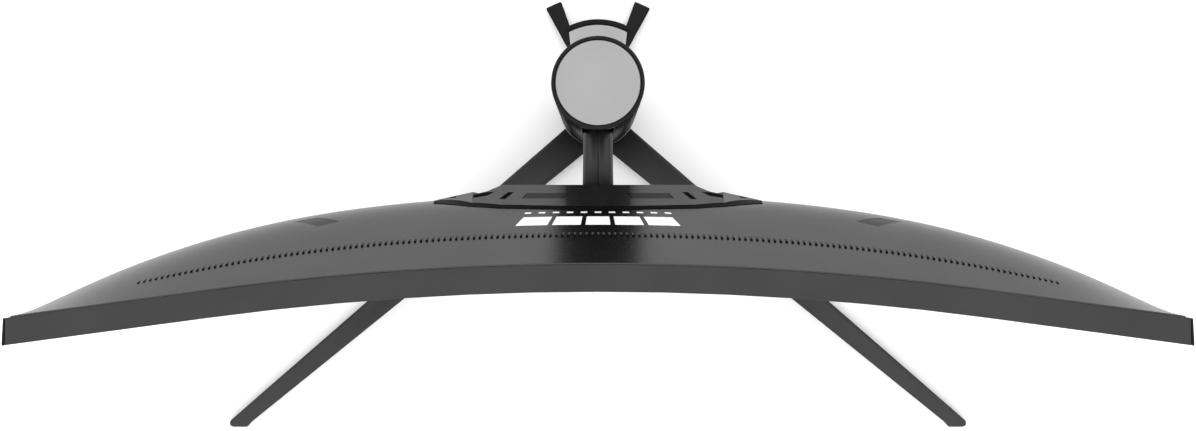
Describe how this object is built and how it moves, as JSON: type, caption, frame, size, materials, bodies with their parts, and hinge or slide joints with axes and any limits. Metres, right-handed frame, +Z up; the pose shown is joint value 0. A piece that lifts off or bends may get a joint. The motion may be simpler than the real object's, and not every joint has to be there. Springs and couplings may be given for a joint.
{
  "type": "curved computer monitor",
  "caption": "Curved desktop monitor: a display in a thin frame with a bowed rear cover, on a round column stand with lift, tilt and swivel, over a base of slim splayed legs.",
  "frame": {"origin": "on the desk, under the centre of the bounding box", "axes": "+X to the right of a person at the screen, +Y to the rear, +Z up; the screen faces -Y"},
  "size_m": [0.612, 0.2708, 0.48],
  "materials": {
    "frame_plastic": "satin charcoal moulding",
    "cover_plastic": "satin charcoal moulding with a fine grain",
    "housing_plastic": "satin charcoal moulding",
    "black_plastic": "black",
    "panel_glass": "anti-glare black",
    "optical_sheet": "white translucent film",
    "acrylic": "clear",
    "led_board": "white",
    "pan_aluminium": "pressed sheet",
    "steel": "zinc plated",
    "circuit_board": "green solder mask",
    "plated_metal": "nickel plated",
    "silver_trim": "fine satin silver",
    "base_paint": "charcoal powder coat",
    "casting": "dark painted casting",
    "rubber": "black",
    "nylon": "natural white"
  },
  "bodies": {
    "base": {"base_hub": "base_paint", "front_leg_left": "base_paint", "front_leg_right": "base_paint", "swivel_washer": "nylon", "tail_rim": "black_plastic", "tail_insert": "silver_trim", "foot_pad_front_left": "rubber", "foot_pad_front_right": "rubber", "foot_pad_rear_left": "rubber", "foot_pad_rear_right": "rubber"},
    "clamp_screw": {"clamp_screw": "steel"},
    "column": {"column_front": "frame_plastic", "column_rear": "frame_plastic", "column_spine": "steel", "spring_strip": "steel", "column_cap_ring": "black_plastic", "column_cap": "silver_trim", "column_foot": "casting"},
    "spring_drum": {"spring_drum": "plated_metal"},
    "carriage": {"lift_carriage": "casting", "glide_left": "nylon", "glide_right": "nylon", "arm_core": "steel", "arm_shell_left": "frame_plastic", "arm_shell_right": "frame_plastic", "friction_washer_left": "plated_metal", "friction_washer_right": "plated_metal"},
    "head": {"mid_frame": "frame_plastic", "side_trim_left": "black_plastic", "side_trim_right": "black_plastic", "front_bezel": "black_plastic", "bottom_bezel": "frame_plastic", "lcd_panel": "panel_glass", "diffuser_sheet": "optical_sheet", "light_guide": "acrylic", "led_strip": "led_board", "backlight_pan": "pan_aluminium", "rear_cover": "cover_plastic", "housing_cover": "housing_plastic", "connector_bay": "black_plastic", "mount_bracket": "steel", "mount_plate": "steel", "tilt_pin": "steel", "main_board": "circuit_board", "power_board": "circuit_board", "port_plate": "black_plastic", "hdmi_port_a": "plated_metal", "hdmi_port_b": "plated_metal", "display_port": "plated_metal", "audio_jack": "black_plastic", "power_inlet": "black_plastic", "speaker_left": "black_plastic", "speaker_right": "black_plastic", "stick_base": "black_plastic"},
    "release_button": {"release_button": "black_plastic"},
    "release_latch": {"release_latch": "steel"},
    "stick_gimbal": {"stick_gimbal": "nylon"},
    "stick_stem": {"stick_stem": "nylon"},
    "stick_cap": {"stick_cap": "black_plastic"}
  },
  "joints": [
    {"name": "swivel", "type": "hinge", "parent": "base", "child": "column", "pos_m": [0, 0.0687, 0.0145], "axis": [0, 0, 1], "range_deg": [-20, 20]},
    {"name": "clamp_screw_turn", "type": "hinge", "parent": "base", "child": "clamp_screw", "pos_m": [0, 0.0687, 0.006], "axis": [0, 0, 1], "continuous": true},
    {"name": "height", "type": "slide", "parent": "column", "child": "carriage", "axis": [0, 0, 1], "range_m": [-0.09, 0.04]},
    {"name": "drum_turn", "type": "hinge", "parent": "column", "child": "spring_drum", "pos_m": [0, 0.0707, 0.447], "axis": [1, 0, 0], "range_deg": [-645, 287]},
    {"name": "tilt", "type": "hinge", "parent": "carriage", "child": "head", "pos_m": [0, 0.002, 0.301], "axis": [-1, 0, 0], "range_deg": [-5, 14]},
    {"name": "release_press", "type": "slide", "parent": "head", "child": "release_button", "axis": [0, -1, 0], "range_m": [0, 0.003], "stiffness_N_per_m": 250, "springref_m": -0.002},
    {"name": "latch_drop", "type": "slide", "parent": "head", "child": "release_latch", "axis": [0, 0, -1], "range_m": [0, 0.003], "stiffness_N_per_m": 250, "springref_m": -0.003},
    {"name": "stick_up_down", "type": "hinge", "parent": "head", "child": "stick_gimbal", "pos_m": [0.15, -0.0126, 0.186], "axis": [1, 0, 0], "range_deg": [-7, 7], "stiffness_Nm_per_rad": 0.02},
    {"name": "stick_left_right", "type": "hinge", "parent": "stick_gimbal", "child": "stick_stem", "pos_m": [0.15, -0.0126, 0.186], "axis": [0, 0, 1], "range_deg": [-7, 7], "stiffness_Nm_per_rad": 0.02},
    {"name": "stick_press", "type": "slide", "parent": "stick_stem", "child": "stick_cap", "axis": [0, -1, 0], "range_m": [0, 0.0006], "stiffness_N_per_m": 600, "springref_m": -0.0005}
  ],
  "couplings": [
    {"joint": "drum_turn", "follows": "height", "rad_per_m": 125},
    {"joint": "latch_drop", "follows": "release_press", "ratio": 1}
  ]
}
